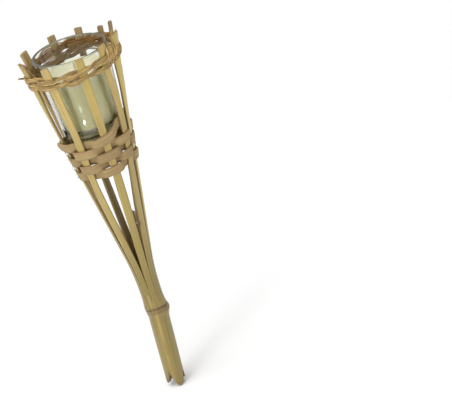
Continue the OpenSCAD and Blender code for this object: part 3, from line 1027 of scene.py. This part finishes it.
def candle():
    heel, shoulder, floor_gap = 3.0, 2.0, 0.02
    side = arc(CANDLE_FOOT_R - heel, heel + floor_gap, heel, -90, 0, 10)
    top = arc(CANDLE_R - shoulder, CANDLE_H - shoulder, shoulder, 0, 90, 12)
    outline = [(0, 0.05), (9, 0.04), (17, floor_gap)] + side + line_of(side[-1], top[0], 26) + top
    # The top has sunk round the wick, where the wax climbs a little
    dish = ((CANDLE_R - 3, 0.10), (CANDLE_R - 5, 0.45), (CANDLE_R - 8, 0.75), (11, 0.95), (7, 1.10),
            (4, 1.15), (2.4, 0.95), (1.6, 0.6), (1.15, 0.5), (0, 0.5))
    outline += [(r, CANDLE_H - sunk) for r, sunk in dish]
    shape = Shape()

    def drift(a, r, z):
        t = math.radians(a)
        rough, dent = 0, 0
        if r > 15:
            rough = 0.10 * wave3(1.6 * math.cos(t), 1.6 * math.sin(t), z / 15, 9)
        if z > CANDLE_Z + CANDLE_H - shoulder:
            dent = 0.22 * wave3(r * math.cos(t) / 9, r * math.sin(t) / 9, 1.0, 7)
        return rough, dent

    turned(shape, [(r, z + CANDLE_Z) for r, z in outline], sides=180, drift=drift)
    return piece("candle_wax", shape, WAX, "candle", ["candle"], sharp=60)


def wick():
    """A flat-braided wick: three yarns that cross over each other."""
    shape = Shape()
    low, high = CANDLE_Z + 0.55, CANDLE_Z + CANDLE_H - 1.2 + WICK_OUT - 0.3
    steps = 260
    for yarn in range(3):
        path = []
        for k in range(steps + 1):
            z = lerp(low, high, k / steps)
            t = 2 * math.pi * (z / 3.6 + yarn / 3)
            sway = 0.35 * ease((z - high + 8) / 8)
            path.append(Vector((0.46 * math.sin(t) + sway, 0.30 * math.sin(2 * t), z)))
        tube(shape, path, 0.44, sides=9, tone=(0, 0, 0.5), rough=0.12, seed=201 + yarn, taper=(0.8, 0.7))
    return piece("wick_braid", shape, COTTON, "candle", ["wick"])


def wick_tab():
    """A pressed tin disc with a raised neck, crimped round the wick."""
    shape = Shape()
    z = CANDLE_Z
    disc = [(0, 0.02), (5, 0.02), (8.6, 0.02), (8.9, 0.06), (9.0, 0.2), (8.9, 0.36), (8.6, 0.42),
            (6.5, 0.44), (6.1, 0.48), (5.7, 0.44), (3.4, 0.44)]
    neck = [(2.6, 0.55), (2.15, 0.9), (2.0, 1.4), (1.95, 2.2), (1.8, 3.0), (1.72, 3.3), (1.55, 3.42),
            (1.3, 3.38), (1.16, 3.2), (1.12, 2.0), (1.1, 0.8), (0, 0.7)]

    def drift(a, r, height):
        crimp = 0.10 * math.cos(4 * math.radians(a)) * ease((height - z - 1.6) / 1.2) if r > 1.4 else 0
        return crimp, 0

    turned(shape, [(r, h + z) for r, h in disc + neck], sides=96, drift=drift)
    return piece("wick_tab_pressed", shape, TIN, "candle", ["wick_tab"])


culm()
for number in range(STAVES):
    stave(number)
for number in range(len(ROW_SHADE)):
    weave_row(number)
for pair_no in (0, 1):
    for first_one in (True, False):
        strand(pair_no, first_one)
binding_knot()
glass_cup()
candle()
wick()
wick_tab()

# ---- Floor, light and camera, in metres ----
FLOOR_Z = -(STAKE_LEN + 0.8) * MM
FLOOR_REACH = 12.0
mesh = bpy.data.meshes.new("floor")
corners = [(x * FLOOR_REACH, y * FLOOR_REACH, FLOOR_Z) for x, y in ((-1, -1), (1, -1), (1, 1), (-1, 1))]
mesh.from_pydata(corners, [], [(0, 1, 2, 3)])
floor = bpy.data.objects.new("floor", mesh)
floor.data.materials.append(floor_look())
bpy.context.scene.collection.objects.link(floor)


def area_light(name, place, target, size, power, flat=1.0):
    data = bpy.data.lights.new(name, "AREA")
    data.shape = "ELLIPSE"
    data.size = size
    data.size_y = size * flat
    data.energy = power
    lamp = bpy.data.objects.new(name, data)
    lamp.location = place
    lamp.rotation_euler = (Vector(target) - Vector(place)).to_track_quat("-Z", "Y").to_euler()
    bpy.context.scene.collection.objects.link(lamp)


area_light("key", (-0.75, -0.85, 0.75), (0, 0, 0.22), 0.40, 3.0)
area_light("strip", (-0.60, -0.50, 0.02), (0, 0, 0.05), 0.07, 0.6)
area_light("fill", (0.80, -0.85, 0.45), (0, 0, 0.18), 0.50, 1.7)
# The photograph has one small bright dot on the glass; this light is placed for its reflection
area_light("spark", (-0.2015, -0.3657, -0.0122), (-0.007, -0.028, 0.2128), 0.05, 0.03, flat=0.11)
sun_data = bpy.data.lights.new("sky", "SUN")
sun_data.energy = 1.65
sun_data.angle = math.radians(50)
sun = bpy.data.objects.new("sky", sun_data)
sun.rotation_euler = Vector((0.30, 0.28, -1.0)).to_track_quat("-Z", "Y").to_euler()
bpy.context.scene.collection.objects.link(sun)

world = bpy.data.worlds.new("studio")
world.use_nodes = True
world.node_tree.nodes["Background"].inputs["Color"].default_value = (1, 1, 1, 1)
world.node_tree.nodes["Background"].inputs["Strength"].default_value = 0.55
bpy.context.scene.world = world
bpy.context.scene.view_settings.view_transform = "Standard"

# The camera looks along azimuth CAMERA_AZ, down by CAMERA_EL, and is rolled to lay the torch over
CAMERA_PLACE = (0, -1.2, 0.68426)
CAMERA_AZ, CAMERA_EL, CAMERA_ROLL = map(math.radians, (4.358, 26.329, -16.890))
SENSOR, LENS = 36, 117.2827434
level = math.cos(CAMERA_EL)
forward = Vector((math.sin(CAMERA_AZ) * level, math.cos(CAMERA_AZ) * level, -math.sin(CAMERA_EL)))
right = forward.cross(Vector((0, 0, 1))).normalized()
upward = right.cross(forward)
c, s = math.cos(CAMERA_ROLL), math.sin(CAMERA_ROLL)
right, upward = c * right + s * upward, c * upward - s * right
camera_data = bpy.data.cameras.new("camera")
camera_data.sensor_width = SENSOR
camera_data.lens = LENS
camera_data.clip_start = 0.01
camera = bpy.data.objects.new("camera", camera_data)
bpy.context.scene.collection.objects.link(camera)
axes = Matrix((right, upward, -forward)).transposed().to_4x4()
camera.matrix_world = Matrix.Translation(CAMERA_PLACE) @ axes
bpy.context.scene.camera = camera
